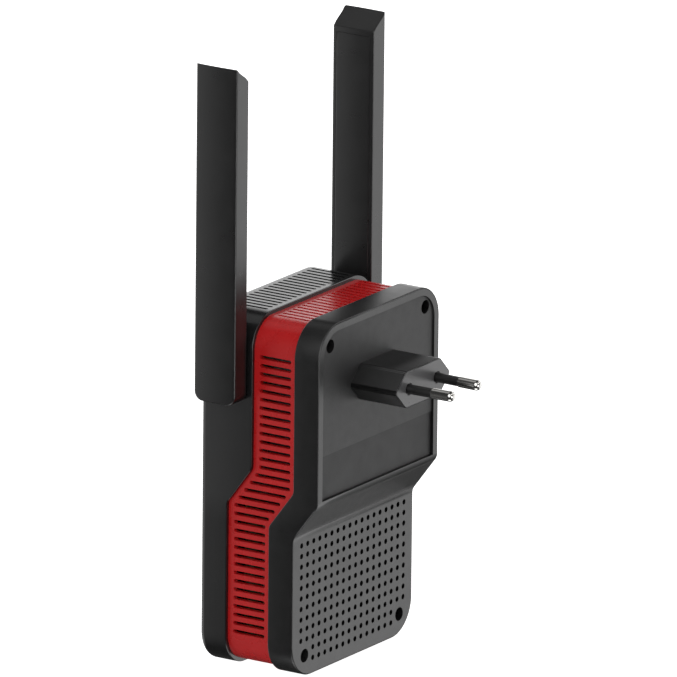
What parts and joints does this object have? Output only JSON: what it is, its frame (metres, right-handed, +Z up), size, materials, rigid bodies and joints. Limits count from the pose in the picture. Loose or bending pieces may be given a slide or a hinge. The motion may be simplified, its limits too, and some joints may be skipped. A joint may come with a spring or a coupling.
{
  "type": "wifi range extender",
  "caption": "Plug-in wifi range extender: stepped two-shell housing with a slotted vent band, Europlug boss, perforated rear face and two folding paddle antennas.",
  "frame": {"origin": "centre of the plug boss's end face, between the two pins", "axes": "+Y along the pins into the wall socket, +Z up the wall, +X to the right seen from the room; the front faces -Y"},
  "size_m": [0.0986, 0.0891, 0.2284],
  "materials": {
    "gloss_black_shell": "moulded ABS, polished",
    "red_band": "moulded ABS, satin",
    "grey_textured_shell": "moulded ABS, fine spark-eroded texture on the rear face, satin sides",
    "label_film": "printed film, blank",
    "antenna_black": "moulded ABS, satin",
    "pin_metal": "nickel-plated brass",
    "black_nylon": "moulded nylon",
    "contact_brass": "stamped brass or gold-plated wire",
    "screw_steel": "black-zinc plated steel",
    "spring_steel": "spring steel",
    "board_green": "glass-epoxy with solder mask",
    "chip_black": "moulded epoxy",
    "shield_tin": "tin-plated steel sheet",
    "sink_aluminium": "extruded and black-free anodised",
    "thermal_silicone": "silicone pad",
    "clear_acrylic": "moulded clear acrylic",
    "led_resin": "resin",
    "coax_jacket": "FEP jacket",
    "can_sleeve": "shrink sleeve over an aluminium can",
    "transformer_tape": "polyester tape over ferrite and copper",
    "button_black": "moulded ABS, satin"
  },
  "bodies": {
    "housing": {"antenna_pigtail_left": "coax_jacket", "antenna_pigtail_right": "coax_jacket", "antenna_sockets": "contact_brass", "board_link": "black_nylon", "board_screws": "screw_steel", "bulk_capacitors": "can_sleeve", "case_screws": "screw_steel", "friction_washers": "spring_steel", "front_shell": "gloss_black_shell", "fuse": "black_nylon", "heat_sink": "sink_aluminium", "indicator_leds": "led_resin", "input_choke": "transformer_tape", "insulating_film": "label_film", "jack_contacts": "contact_brass", "light_pipe": "clear_acrylic", "main_board": "board_green", "memory_chips": "chip_black", "network_jack": "black_nylon", "network_transformer": "chip_black", "output_capacitor": "can_sleeve", "pin_carrier": "black_nylon", "pin_contact_left": "contact_brass", "pin_contact_right": "contact_brass", "pin_sleeve_left": "black_nylon", "pin_sleeve_right": "black_nylon", "plug_pin_left": "pin_metal", "plug_pin_right": "pin_metal", "power_board": "board_green", "power_board_screws": "screw_steel", "power_transformer": "transformer_tape", "radio_shield": "shield_tin", "rating_label": "label_film", "rear_shell": "grey_textured_shell", "rectifier": "chip_black", "reset_switch": "chip_black", "soc_chip": "chip_black", "thermal_pad": "thermal_silicone", "vent_band": "red_band", "wps_switch": "shield_tin"},
    "antenna_left": {"antenna_coax_left": "coax_jacket", "antenna_cover_left": "antenna_black", "antenna_element_left": "board_green", "antenna_lid_left": "antenna_black", "antenna_pivot_left": "black_nylon", "pivot_clip_left": "spring_steel"},
    "antenna_right": {"antenna_coax_right": "coax_jacket", "antenna_cover_right": "antenna_black", "antenna_element_right": "board_green", "antenna_lid_right": "antenna_black", "antenna_pivot_right": "black_nylon", "pivot_clip_right": "spring_steel"},
    "wps_button_body": {"wps_button": "button_black", "wps_plunger": "button_black"},
    "reset_button_body": {"reset_plunger": "button_black"}
  },
  "joints": [
    {"name": "antenna_left_fold", "type": "hinge", "parent": "housing", "child": "antenna_left", "pos_m": [-0.0408, -0.05805, 0.00685], "axis": [1, 0, 0], "range_deg": [0, 180]},
    {"name": "antenna_right_fold", "type": "hinge", "parent": "housing", "child": "antenna_right", "pos_m": [0.0408, -0.05805, 0.00685], "axis": [1, 0, 0], "range_deg": [0, 180]},
    {"name": "wps_press", "type": "slide", "parent": "housing", "child": "wps_button_body", "axis": [0, 1, 0], "range_m": [0, 0.0005], "stiffness_N_per_m": 2000},
    {"name": "reset_press", "type": "slide", "parent": "housing", "child": "reset_button_body", "axis": [0, 0, 1], "range_m": [0, 0.00025], "stiffness_N_per_m": 2000}
  ]
}
